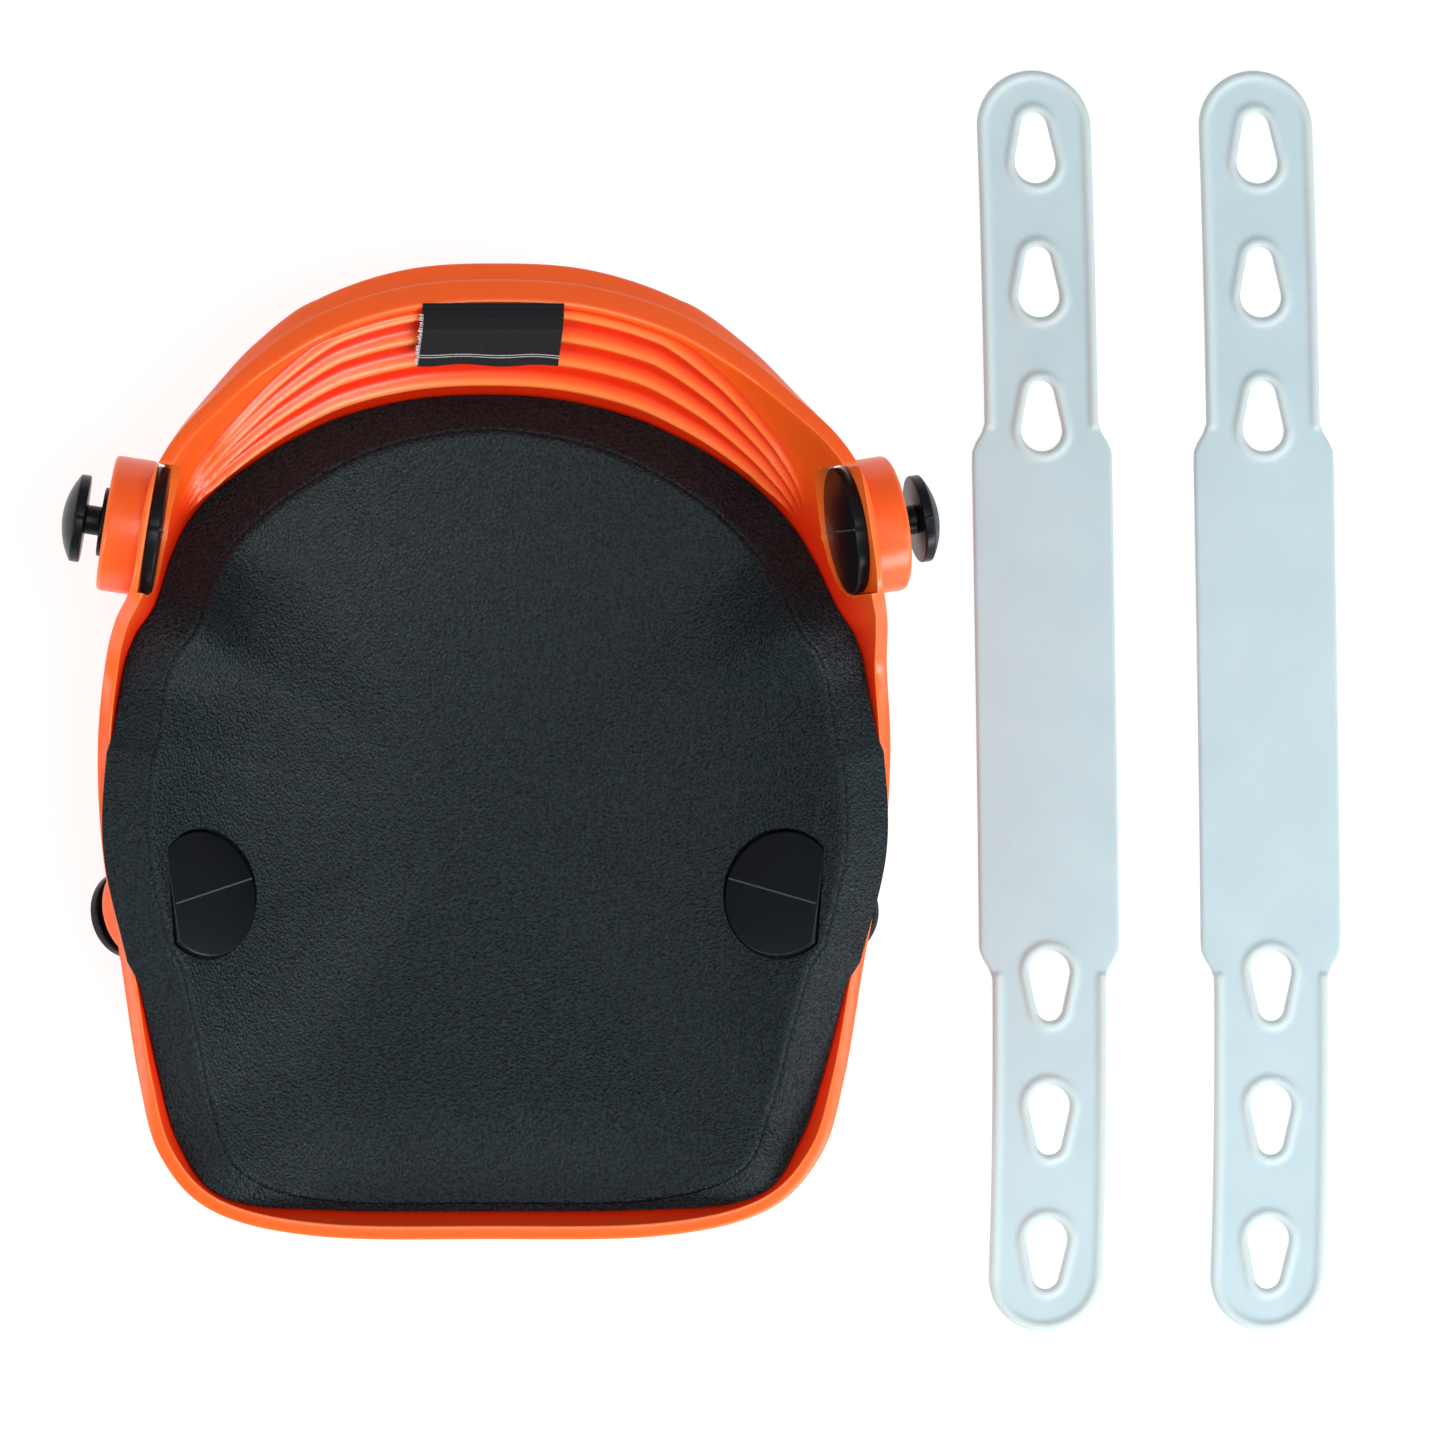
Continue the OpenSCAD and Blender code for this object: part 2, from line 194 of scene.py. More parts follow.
def apply_modifiers(obj):
    """Replaces obj's mesh by what its modifiers make of it."""
    graph = bpy.context.evaluated_depsgraph_get()
    made = bpy.data.meshes.new_from_object(obj.evaluated_get(graph), depsgraph=graph)
    obj.modifiers.clear()
    obj.data = made


def shade_smooth(obj, angle=None):
    for polygon in obj.data.polygons:
        polygon.use_smooth = True
    if angle is not None:
        obj.data.set_sharp_from_angle(angle=math.radians(angle))


def paint(obj, mat):
    """Gives the whole of obj one material."""
    obj.data.materials.clear()
    obj.data.materials.append(mat)
    obj.data.polygons.foreach_set("material_index", np.zeros(len(obj.data.polygons), np.int32))


def boolean(obj, other, operation):
    """Joins other to obj or cuts it away, and uses it up."""
    modifier = obj.modifiers.new(operation, "BOOLEAN")
    modifier.operation = operation
    modifier.solver = "MANIFOLD"
    modifier.object = other
    apply_modifiers(obj)
    bpy.data.objects.remove(other)


def join(objects, name):
    """One object that holds the meshes of several."""
    made = bmesh.new()
    for o in objects:
        mesh = o.data.copy()
        mesh.transform(o.matrix_world)
        made.from_mesh(mesh)
        bpy.data.meshes.remove(mesh)
    mesh = bpy.data.meshes.new(name)
    made.to_mesh(mesh)
    made.free()
    for o in objects:
        bpy.data.objects.remove(o)
    return new_object(name, mesh)


def remesh(obj, voxel_mm, rounds):
    """Fuses overlapping shapes into one skin and relaxes it."""
    modifier = obj.modifiers.new("remesh", "REMESH")
    modifier.mode = "VOXEL"
    modifier.voxel_size = voxel_mm * MM
    relax = obj.modifiers.new("relax", "SMOOTH")
    relax.iterations = rounds
    relax.factor = 0.5
    apply_modifiers(obj)


def ring_solid(name, rings, first, last):
    """Closed mesh through a stack of rings of points, with a fan over each end."""
    rings = np.asarray(rings)
    m, n, _ = rings.shape
    points = np.concatenate([rings.reshape(-1, 3), [first, last]])
    faces = []
    for j in range(m - 1):
        for i in range(n):
            k = (i + 1) % n
            faces.append((j * n + k, j * n + i, (j + 1) * n + i, (j + 1) * n + k))
    for i in range(n):
        k = (i + 1) % n
        faces.append((m * n, i, k))
        faces.append((m * n + 1, (m - 1) * n + k, (m - 1) * n + i))
    return mesh_object(name, points, faces)


def lathe(name, profile, segments=128, seam=0.0):
    """Turned solid about +Z from (radius, height) points that start and end on the axis. seam is how far
    the mould's parting line stands out, on two opposite sides."""
    angles = []
    for half in (0, 180):
        angles += [half - SEAM_HALF_ANGLE, half, half + SEAM_HALF_ANGLE]
        between = np.linspace(half + SEAM_HALF_ANGLE, half + 180 - SEAM_HALF_ANGLE, segments // 2)
        angles += list(between[1:-1])
    rings = []
    profile = np.asarray(profile, float)
    for a in angles:
        on_seam = seam if a in (0, 180) else 0.0
        radius = profile[:, 0] + on_seam * (profile[:, 0] > 0)
        c, s = math.cos(math.radians(a)), math.sin(math.radians(a))
        rings.append(np.stack([radius * c, radius * s, profile[:, 1]], axis=1))
    rings = np.asarray(rings)
    n, m, _ = rings.shape
    points = np.concatenate([rings[:, 1:-1].reshape(-1, 3), [rings[0, 0], rings[0, -1]]])
    inner = m - 2
    faces = []
    for i in range(n):
        k = (i + 1) % n
        for j in range(inner - 1):
            faces.append((i * inner + j, k * inner + j, k * inner + j + 1, i * inner + j + 1))
        faces.append((n * inner, k * inner, i * inner))
        faces.append((n * inner + 1, i * inner + inner - 1, k * inner + inner - 1))
    return mesh_object(name, points, faces)


def rounded(corners, radius, steps=5):
    """Open (radius, height) outline with each inner corner replaced by a small arc."""
    out = [corners[0]]
    for before, here, after in zip(corners, corners[1:], corners[2:]):
        here = np.array(here, float)
        a, b = np.array(before) - here, np.array(after) - here
        reach = min(radius, 0.45 * np.linalg.norm(a), 0.45 * np.linalg.norm(b))
        start = here + a / np.linalg.norm(a) * reach
        end = here + b / np.linalg.norm(b) * reach
        for s in np.linspace(0, 1, steps):
            out.append(tuple((1 - s) ** 2 * start + 2 * s * (1 - s) * here + s * s * end))
    out.append(corners[-1])
    return out


def stud_matrix(seat, tilt, turn, side):
    """Puts a stud's own frame, +Z from the disc's seat out to the head, on the pad's left or right."""
    place = (Matrix.Translation(Vector(seat) * MM) @ Matrix.Rotation(math.radians(turn), 4, "Z")
             @ Matrix.Rotation(math.radians(tilt), 4, "Y"))
    return Matrix.Diagonal((side, 1, 1, 1)) @ place


def moved(obj, matrix):
    """Moves obj's mesh, with its faces turned back outwards where the matrix mirrors."""
    obj.data.transform(matrix)
    if matrix.determinant() < 0:
        obj.data.flip_normals()
    return obj


def at_ear(obj, side):
    return moved(obj, stud_matrix(EAR_SEAT, EAR_TILT, EAR_TURN, side))


def at_side(obj, side):
    return moved(obj, stud_matrix(SIDE_SEAT, SIDE_TILT, SIDE_TURN, side))


# ---------------------------------------------------------------- the moulded wall
# u counts stations round the pad from the crown, and t runs up the wall from 0 at the sole to 1 at the rim.

def round_pad(columns):
    return np.arange(columns) * ROUND / columns


def net_at(u):
    """Row of the net at any place round the pad, on a smooth curve through the stations."""
    i = np.floor(u).astype(int)
    f = (u - i)[..., None]
    a, b, c, d = (NET[(i + k) % ROUND] for k in (-1, 0, 1, 2))
    square, cube = 2 * a - 5 * b + 4 * c - d, 3 * b - a - 3 * c + d
    return 0.5 * (2 * b + f * (c - a) + f ** 2 * square + f ** 3 * cube)


def from_crown(u):
    """Stations between u and the crown, on either side."""
    u = np.mod(u, ROUND)
    return np.minimum(u, ROUND - u)


def outwards(plan):
    """Level directions from the pad's centre to points of its plan."""
    spoke = plan - CENTRE
    return spoke / np.linalg.norm(spoke, axis=-1, keepdims=True)


def with_z(plan, z):
    return np.concatenate([plan, z], axis=-1)


def wall_point(u, t):
    """Point of the plain wall, on a cubic curve from the sole up to the rim."""
    s = net_at(u)
    plan, z = s[..., :2], s[..., 2:3]
    spoke = plan - CENTRE
    rim = with_z(plan, z)
    below = with_z(plan - outwards(plan) * s[..., LEAN, None], z - s[..., DROP, None])
    sole = with_z(CENTRE + spoke * SOLE_SHARE, 0 * z)
    belly = with_z(CENTRE + spoke * BELLY_SHARE, 0 * z)
    t = t[..., None]
    q = 1 - t
    return q ** 3 * sole + 3 * q * q * t * belly + 3 * q * t * t * below + t ** 3 * rim


def inward(u, t):
    """Unit normal of the wall, to the inside of the pad."""
    du, dt = 0.05, 0.02
    round_way = wall_point(u + du, t) - wall_point(u - du, t)
    up_way = wall_point(u, np.minimum(1, t + dt)) - wall_point(u, np.maximum(0, t - dt))
    n = np.cross(round_way, up_way)
    return n / np.linalg.norm(n, axis=-1, keepdims=True)


def rib_phase(u, t):
    """Fade of the ribs away from the crown, and how far up the ribbed band a point lies, 0 to 1."""
    k = from_crown(u)
    top = np.interp(k, RIB_TOP_STATIONS, RIB_TOP_SHARES)
    return 1 - smooth(k, *RIB_TOP_STATIONS[-2:]), ramp(t, net_at(u)[..., FOAM_SHARE] + RIB_START_GAP, top)


def swell(phase):
    """Height of the ribs across their band, 0 to 1."""
    return (0.5 * (1 - np.cos(2 * math.pi * RIB_COUNT * phase))) ** RIB_NARROWING


def rib(u, t):
    """Offset of the wall by its ribs."""
    fade, phase = rib_phase(u, t)
    return RIB_DEPTH * fade * swell(phase)


def painted_shade_and_highlight(u, t):
    """Painted light on the inside of the wall: 1 for a painted highlight on the crest of a rib, -1 for
    painted shade in a groove or beside the foam.
    """
    fade, phase = rib_phase(u, t)
    # Painted highlight on the rib crests and painted shade in the grooves between them
    ribbed = (2 * swell(phase) - 1) * (1 - smooth(phase, 0.96, 1))
    # Painted shade on the wall just beside the foam's edge
    painted_shade_by_foam = smooth(t - net_at(u)[..., FOAM_SHARE], 0, 0.25) - 1
    return fade * ribbed + (1 - fade) * painted_shade_by_foam


def lip(u, t):
    """Offset of the crown's lip, which is rolled outwards and droops a little."""
    s = net_at(u)
    blurred = [np.interp(t + shift, LIP_SHARES, LIP_PROFILE) for shift in (-0.006, 0, 0.006)]
    reach = np.maximum(0, s[..., LIP_REACH]) * np.mean(blurred, axis=0)
    out = outwards(s[..., :2])
    return reach[..., None] * with_z(out, np.full(out.shape[:-1] + (1,), -LIP_DROOP))


def wall_thickness(t):
    """Thickness, which falls from the sole's to the wall's over the lowest part of the wall."""
    return SOLE_T + (WALL - SOLE_T) * ramp(t, 0, 0.3)


def offset_wall(u, t, distance):
    return wall_point(u, t) + distance[..., None] * inward(u, t)


def crown_bead(u, t):
    """Extra thickness of the crown's rim, which is rolled over a little on the inside too."""
    return CROWN_BEAD * (1 - smooth(from_crown(u), *BEAD_STATIONS)) * smooth(t, *BEAD_SHARES)


def wall_ring(t, columns, inside, gap=0.0):
    """Points round the shell's inside, plus a gap, or round its outside, at one height or one per column."""
    u = round_pad(columns)
    t = np.full(columns, t) if np.isscalar(t) else t
    if inside:
        return offset_wall(u, t, rib(u, t) + wall_thickness(t) + crown_bead(u, t) + gap)
    return offset_wall(u, t, rib(u, t)) + lip(u, t)


# ---------------------------------------------------------------- pieces

def rim_rings(outer, inner, below, steps=9, crown=0.7, squareness=0.55):
    """Rounded end of the wall, from its outer edge over the top to its inner edge."""
    middle, half = (outer + inner) / 2, (outer - inner) / 2
    up = outer - below
    up /= np.linalg.norm(up, axis=1, keepdims=True)
    rings = []
    for a in np.linspace(0, math.pi, steps)[1:-1]:
        across = math.copysign(abs(math.cos(a)) ** squareness, math.cos(a))
        rings.append(middle + across * half + crown * math.sin(a) ** squareness * up)
    return rings


def make_shell():
    """Orange moulding: wall with ribs and lip, bosses, disc pockets, stud holes and grip grooves."""
    columns = 540
    u = round_pad(columns)
    low, ribbed, rim = np.linspace(0, 0.5, 24), np.linspace(0.51, 0.88, 75), np.linspace(0.884, 1, 30)
    shares = np.concatenate([low, ribbed, rim])
    outside = [wall_ring(t, columns, False) for t in shares]
    inside = [wall_ring(t, columns, True) for t in shares[::-1]]
    below = wall_ring(0.97, columns, False) - lip(u, np.full(columns, 0.97))
    rings = outside + rim_rings(outside[-1], inside[0], below) + inside
    shell = ring_solid("shell_moulding", rings, (*CENTRE, 0), (*CENTRE, SOLE_T))
    # The inside of the wall carries painted shade and painted highlight for the material; the outside and
    # the rim carry none
    untoned = [np.zeros(columns)] * (len(rings) - len(inside))
    tone = untoned + [painted_shade_and_highlight(u, np.full(columns, t)) for t in shares[::-1]]
    mark(shell, "painted_shade_and_highlight", np.append(np.concatenate(tone), [0, 0]))
    for side in (-1, 1):
        boolean(shell, at_ear(boss(EAR_BOSS_R, 0, EAR_STEM, EAR_BOSS_EDGE_R), side), "UNION")
        base = SIDE_STEM - SIDE_BOSS_DEPTH
        boolean(shell, at_side(boss(SIDE_BOSS_R, base, SIDE_STEM, SIDE_BOSS_EDGE_R), side), "UNION")
    for side in (-1, 1):
        boolean(shell, at_ear(ear_pocket(), side), "DIFFERENCE")
        boolean(shell, at_ear(bore(STEM_R, -OVERSHOOT, EAR_STEM + OVERSHOOT), side), "DIFFERENCE")
        boolean(shell, at_side(bore(STEM_R, 0, SIDE_STEM + OVERSHOOT), side), "DIFFERENCE")
        boolean(shell, at_side(bore(SPOT_FACE_R, SIDE_STEM, SIDE_STEM + OVERSHOOT), side), "DIFFERENCE")
    boolean(shell, sole_grooves(), "DIFFERENCE")
    shade_smooth(shell, 38)
    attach(shell, "pad")
    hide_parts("shell")
    paint(shell, shell_rubber())


def mark(obj, name, values):
    """Stores one value per vertex, for the materials to read."""
    attribute = obj.data.attributes.new(name, "FLOAT", "POINT")
    attribute.data.foreach_set("value", np.asarray(values, np.float32))


def sole_grooves():
    """Cutter for the grip grooves across the sole, which are shorter towards its two ends."""
    bars = []
    for y in SOLE_GROOVES_Y:
        reach = SOLE_GROOVE_REACH * math.sqrt(1 - ((y - SOLE_MIDDLE_Y) / SOLE_HALF_LEN) ** 2)
        outline = rectangle(-reach, reach, y, SOLE_GROOVE_W / 2)
        bars.append(prism("bar", outline, -OVERSHOOT, SOLE_GROOVE_DEPTH))
    return join(bars, "sole_grooves")


def rectangle(left, right, y, half_w):
    """Anticlockwise outline about a line from left to right."""
    return [(left, y - half_w), (right, y - half_w), (right, y + half_w), (left, y + half_w)]


def boss(radius, low, high, edge_r):
    return lathe("boss", rounded([(0, low), (radius, low), (radius, high), (0, high)], edge_r))


def bore(radius, low, high):
    return lathe("bore", [(0, low), (radius, low), (radius, high), (0, high)])


def ear_pocket():
    """U-shaped cutter, open towards the rim, for the disc of an upper stud."""
    r = DISC_R + POCKET_GAP
    outline = [(-30, -r), (0, -r)]
    outline += [(r * math.sin(a), -r * math.cos(a)) for a in np.linspace(0, math.pi, 49)[1:-1]]
    outline += [(0, r), (-30, r)]
    return prism("pocket", outline, -12, 0)


def prism(name, outline, low, high):
    """Straight solid over a convex or star-shaped outline given anticlockwise."""
    n = len(outline)
    points = [(x, y, low) for x, y in outline] + [(x, y, high) for x, y in outline]
    faces = [tuple(range(n - 1, -1, -1)), tuple(range(n, 2 * n))]
    faces += [(i, (i + 1) % n, n + (i + 1) % n, n + i) for i in range(n)]
    return mesh_object(name, points, faces)


def d_outline(r, flat, steps=96):
    """Circle with one straight flat near x = -flat, turned as the disc is keyed, anticlockwise."""
    corner = math.acos(flat / r)
    angles = np.linspace(math.pi + corner, 3 * math.pi - corner, steps) + math.radians(DISC_KEY_TURN)
    return [(r * math.cos(a), r * math.sin(a)) for a in angles]


def soften(rings, first, last):
    """Rounds the edge that a stack of rings has between two of them."""
    rings[first:last] = (rings[first - 1:last - 1] + 2 * rings[first:last] + rings[first + 1:last + 1]) / 4


def crease(points, start, end, width, depth):
    """Presses a short soft crease into a surface seen from above, between two plan points."""
    start, end = np.array(start, float), np.array(end, float)
    along = end - start
    share = np.clip((points[..., :2] - start) @ along / (along @ along), 0, 1)
    away = np.linalg.norm(points[..., :2] - start - share[..., None] * along, axis=-1)
    points[..., 2] -= depth * np.exp(-(away / width) ** 2)


def make_foam():
    """Foam insert: follows the shell's inside, swells over its rim and has a bevelled border and a dish."""
    columns = 432
    net = net_at(round_pad(columns))
    edge_share = np.minimum(net[:, FOAM_SHARE], 1)
    under = [wall_ring(share * edge_share, columns, True, FOAM_GAP) for share in np.linspace(0, 1, 30)]
    edge = under[-1]
    out = outwards(edge[:, :2])
    bulge = BULGE_FULLNESS * np.maximum(0, net[:, BULGE]) * ramp(net[:, FOAM_SHARE], BULGE_FROM, 1)
    brow = edge + with_z(out * bulge[:, None], (BROW_RISE + BULGE_RISE * bulge)[:, None])
    ridge = brow[:, :2] - net[:, BORDER_W, None] * out
    ridge_z = brow[:, 2] + net[:, BORDER_RISE]
    # The dish takes its height from a calmed copy of the ridge, so that its middle stays even
    calm_z = ridge_z.copy()
    for _ in range(CALM_ROUNDS):
        calm_z = (np.roll(calm_z, 1) + calm_z + np.roll(calm_z, -1)) / 3
    over = []
    for border in np.linspace(0, 1, BORDER_RINGS, endpoint=False):
        place = brow[:, :2] + (ridge - brow[:, :2]) * border
        groove = BORDER_GROOVE_DEPTH * math.exp(-((border - BORDER_GROOVE_AT) / BORDER_GROOVE_SPREAD) ** 2)
        over.append(with_z(place, (brow[:, 2] + net[:, BORDER_RISE] * border - groove)[:, None]))
    for share in np.linspace(1, 0.02, 90):
        exact = smooth(share, 0.7, 1)
        rim_z = exact * ridge_z + (1 - exact) * calm_z
        z = DISH_Z + (rim_z - DISH_Z) * share ** DISH_POWER
        over.append(with_z(CENTRE + share * (ridge - CENTRE), z[:, None]))
    over = np.array(over)
    soften(over, BORDER_RINGS - 1, BORDER_RINGS + 2)
    for start, end, width, depth in CREASES:
        crease(over, start, end, width, depth)
    foam = ring_solid("foam", under + list(over), (*CENTRE, SOLE_T + FOAM_GAP), (*CENTRE, DISH_Z))
    for side in (-1, 1):
        pocket = prism("pocket", d_outline(DISC_R + POCKET_GAP, DISC_FLAT + POCKET_GAP), -20, 0)
        boolean(foam, at_side(pocket, side), "DIFFERENCE")
    shade_smooth(foam, 50)
    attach(foam, "pad")
    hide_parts("foam_insert")
    paint(foam, foam_skin())


def shaft_profile(stem_len):
    """Outline of a stud from its stem over flange, neck and domed head to the axis."""
    stem_len = stem_len + SEAT_GAP
    neck_from = stem_len + FLANGE_T
    head_from = neck_from + NECK_LEN
    rise = HEAD_T - HEAD_EDGE_T
    dome_r = (HEAD_R ** 2 + rise ** 2) / (2 * rise)
    half = math.asin(HEAD_R / dome_r)
    dome = [(dome_r * math.sin(a), head_from + HEAD_T - dome_r * (1 - math.cos(a)))
            for a in np.linspace(half, 0, 20)][1:]
    corners = [(STEM_R, stem_len), (FLANGE_R, stem_len), (FLANGE_R, neck_from), (NECK_R, neck_from),
               (NECK_R, head_from), (HEAD_R, head_from), (HEAD_R, head_from + HEAD_EDGE_T), dome[0]]
    return rounded(corners, STUD_EDGE_R) + dome[1:]


def keyed_disc():
    """Disc with one flat, separate from its stud's turned shaft."""
    disc = prism("disc", d_outline(DISC_R, DISC_FLAT), -DISC_T, 0)
    bevel = disc.modifiers.new("bevel", "BEVEL")
    bevel.width = STUD_EDGE_R * MM
    bevel.segments = 3
    bevel.limit_method = "ANGLE"
    apply_modifiers(disc)
    return disc


def make_stud(name, stem_len, place, side, body, keyed):
    """Stud with its parting line: a turned one, or one whose disc is keyed by a flat."""
    shaft = shaft_profile(stem_len)
    if keyed:
        flat_at = DISC_FLAT
        stem_end = [(0, -STUD_EDGE_R), (STEM_R, -STUD_EDGE_R)]
        solids = [lathe(name, stem_end + shaft, seam=SEAM_RISE), keyed_disc()]
    else:
        flat_at = DISC_R
        disc = rounded([(0, -DISC_T), (DISC_R, -DISC_T), (DISC_R, 0), (STEM_R, 0)], STUD_EDGE_R)
        solids = [lathe(name, disc + shaft, seam=SEAM_RISE)]
    outline = rectangle(STUD_EDGE_R - flat_at, DISC_R - STUD_EDGE_R, 0, FLASH_HALF_W)
    line = prism("line", outline, -DISC_T - FLASH_RISE, -DISC_T + 0.1)
    parts = solids + [line]
    for part in parts:
        # Marks the flash line, which the material paints paler as a painted highlight along its ridge
        mark(part, "flash_highlight", np.full(len(part.data.vertices), float(part is line)))
    stud = join(parts, name + "_moulding")
    place(stud, side)
    shade_smooth(stud, 35)
    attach(stud, body)
    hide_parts(name)
    paint(stud, stud_plastic())


def strap_half_width(y):
    """Half the strap's width, which narrows from the middle to the slotted ends over a short flare."""
    flare = smooth(abs(y), STRAP_MID_LEN / 2, STRAP_MID_LEN / 2 + FLARE)
    return (STRAP_MID_W + (STRAP_END_W - STRAP_MID_W) * flare) / 2


def strap_side(inset, start):
    """Outline of one slotted end from (right, start) round the tip to (left, start)."""
    r = STRAP_END_W / 2
    tip = STRAP_LEN / 2 - r
    straight = np.linspace(start, tip, 60, endpoint=False)
    right = [(strap_half_width(y) - inset, y) for y in straight]
    arc = [((r - inset) * math.cos(a), tip + (r - inset) * math.sin(a)) for a in np.linspace(0, math.pi, 41)]
    left = [(-x, y) for x, y in reversed(right)]
    return right + arc + left


def pear(grow, centre_y, steps=24):
    """Outline of a slot, grown all round: a wide round end, a narrow one further out, straight between."""
    wide_y, narrow_y = SLOT_WIDE_R - SLOT_LEN / 2, SLOT_LEN / 2 - SLOT_NARROW_R
    lean = math.asin((SLOT_WIDE_R - SLOT_NARROW_R) / (narrow_y - wide_y))
    points = [((SLOT_NARROW_R + grow) * math.cos(a), narrow_y + (SLOT_NARROW_R + grow) * math.sin(a))
              for a in np.linspace(lean, math.pi - lean, steps)]
    points += [((SLOT_WIDE_R + grow) * math.cos(a), wide_y + (SLOT_WIDE_R + grow) * math.sin(a))
               for a in np.linspace(math.pi - lean, 2 * math.pi + lean, steps)]
    return [(x, y + centre_y) for x, y in points]


def both_ends(points):
    """An outline and its copy at the other end of the strap."""
    return [points, [(-x, -y) for x, y in points]]


def slots(grow):
    """Outlines of all the slots of a strap, grown all round."""
    places = [SLOT_FIRST + k * SLOT_PITCH for k in range(SLOTS_PER_END)]
    return [loop for y in places for loop in both_ends(pear(grow, y))]


def curve_mesh(name, loops, depth, z, cyclic=True, flat=False, half_thickness=0.0):
    """Mesh of a filled flat curve with rounded edges, or of round beads along open or closed lines."""
    curve = bpy.data.curves.new(name, "CURVE")
    curve.dimensions = "2D" if flat else "3D"
    curve.fill_mode = "BOTH" if flat else "FULL"
    curve.extrude = half_thickness * MM
    curve.bevel_depth = depth * MM
    curve.bevel_resolution = 3
    curve.offset = -depth * MM if flat else 0
    curve.use_fill_caps = not flat
    for loop in loops:
        spline = curve.splines.new("POLY")
        spline.points.add(len(loop) - 1)
        for point, (x, y) in zip(spline.points, loop):
            point.co = (x * MM, y * MM, 0, 1)
        spline.use_cyclic_u = cyclic
    obj = new_object(name, curve)
    graph = bpy.context.evaluated_depsgraph_get()
    mesh = bpy.data.meshes.new_from_object(obj.evaluated_get(graph), depsgraph=graph)
    mesh.transform(Matrix.Translation((0, 0, z * MM)))
    bpy.data.objects.remove(obj)
    return new_object(name, mesh)


def bow(strap):
    """Bends a strap a little sideways, as soft straps lie when they come out of their packing."""
    bend = np.polyfit(BOW_Y, BOW_X, 4)
    for v in strap.data.vertices:
        v.co.x += np.polyval(bend, v.co.y / MM) * MM


def make_strap(node, body):
    """Strap with round-edged plate and slots, and raised beads round its ends and round each slot."""
    outline = [point for half in both_ends(strap_side(0, 0)) for point in half]
    plate = curve_mesh(node, [outline] + slots(0), STRAP_EDGE_R, STRAP_T / 2, flat=True,
                       half_thickness=STRAP_T / 2 - STRAP_EDGE_R)
    bead_r = BEAD_W / 2
    bead_z = STRAP_T + BEAD_H - bead_r
    bead_from = STRAP_MID_LEN / 2 + FLARE - 1
    beads = curve_mesh("beads", both_ends(strap_side(bead_r, bead_from)), bead_r, bead_z, cyclic=False)
    rims = curve_mesh("rims", slots(bead_r), bead_r, bead_z)
    low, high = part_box(node)
    strap = join([plate, beads, rims], node + "_moulding")
    remesh(strap, STRAP_VOXEL, 3)
    bow(strap)
    strap.data.transform(Matrix.Translation(((low.x + high.x) / 2, (low.y + high.y) / 2, 0)))
    shade_smooth(strap)
    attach(strap, body)
    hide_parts(node)
    paint(strap, strap_silicone())


def label_point(across, down, lift=0.0):
    """Point on the label, across from -1 to 1 and down from 0 to 1, with slack at its free lower edge."""
    steps = np.linalg.norm(np.diff(LABEL_PATH, axis=0), axis=1)
    reach = np.concatenate([[0], np.cumsum(steps)])
    along = down * reach[-1]
    y, z = (np.interp(along, reach, LABEL_PATH[:, k]) for k in (0, 1))
    waves = 0.2 * math.sin(6.0 * across + 0.6) * down ** 2
    lifted_corner = 0.9 * down ** 3 * max(0, across - 0.6)
    sag = 0.25 * down ** 2 * math.sin(5.2 * across)
    flat = np.array([LABEL_X + across * LABEL_W / 2, y, z])
    return flat + LABEL_OUT * (waves + lifted_corner + lift) + LABEL_DOWN * sag


def make_label():
    """Woven label that hangs from the crown's rim and lies over the ribs."""
    columns, rows = 102, 66
    grid = np.array([[[label_point(2 * i / columns - 1, j / rows, lift) for i in range(columns + 1)]
                      for j in range(rows + 1)] for lift in (0, LABEL_T)])
    n = (rows + 1) * (columns + 1)

    def at(layer, j, i):
        return layer * n + j * (columns + 1) + i

    faces = []
    for j in range(rows):
        for i in range(columns):
            faces.append((at(0, j, i), at(0, j, i + 1), at(0, j + 1, i + 1), at(0, j + 1, i)))
            faces.append((at(1, j, i), at(1, j + 1, i), at(1, j + 1, i + 1), at(1, j, i + 1)))
    for i in range(columns):
        faces.append((at(0, 0, i + 1), at(0, 0, i), at(1, 0, i), at(1, 0, i + 1)))
        faces.append((at(0, rows, i), at(0, rows, i + 1), at(1, rows, i + 1), at(1, rows, i)))
    for j in range(rows):
        faces.append((at(0, j, 0), at(0, j + 1, 0), at(1, j + 1, 0), at(1, j, 0)))
        faces.append((at(0, j + 1, columns), at(0, j, columns), at(1, j, columns), at(1, j + 1, columns)))
    label = mesh_object("woven_label", grid.reshape(-1, 3), faces)
    shade_smooth(label, 50)
    fringe = make_fringe()
    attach(label, "pad")
    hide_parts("label")
    paint(label, label_cloth())


def make_fringe():
    """Cut ends of the pale selvedge threads along the label's left edge."""
    rng = np.random.default_rng(7)
    threads = []
    for down in np.linspace(0.12, 0.97, 34):
        root = label_point(-0.985, down, LABEL_T)
        tip = label_point(-1, down + rng.uniform(-0.012, 0.012), LABEL_T * 0.6)
        tip[0] -= rng.uniform(0.25, 0.9)
        thread = lathe("thread", [(0, 0), (THREAD_R, 0), (THREAD_R, 1), (0, 1)], segments=6)
        along = Vector((tip - root) * MM)
        scale = Matrix.Diagonal((1, 1, along.length / MM, 1))
        turn = along.to_track_quat("Z", "Y").to_matrix().to_4x4()
        threads.append(moved(thread, Matrix.Translation(Vector(root * MM)) @ turn @ scale))
    fringe = join(threads, "label_fringe")
    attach(fringe, "pad")
    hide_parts("label")
    paint(fringe, thread_cotton())
    return fringe


# ---------------------------------------------------------------- materials

def material(name, color, roughness):
    """New material, with its nodes, its links and its shader."""
    mat = bpy.data.materials.new(name)
    mat.use_nodes = True
    shader = mat.node_tree.nodes["Principled BSDF"]
    shader.inputs["Base Color"].default_value = (*color, 1)
    shader.inputs["Roughness"].default_value = roughness
    return mat, mat.node_tree.nodes, mat.node_tree.links, shader


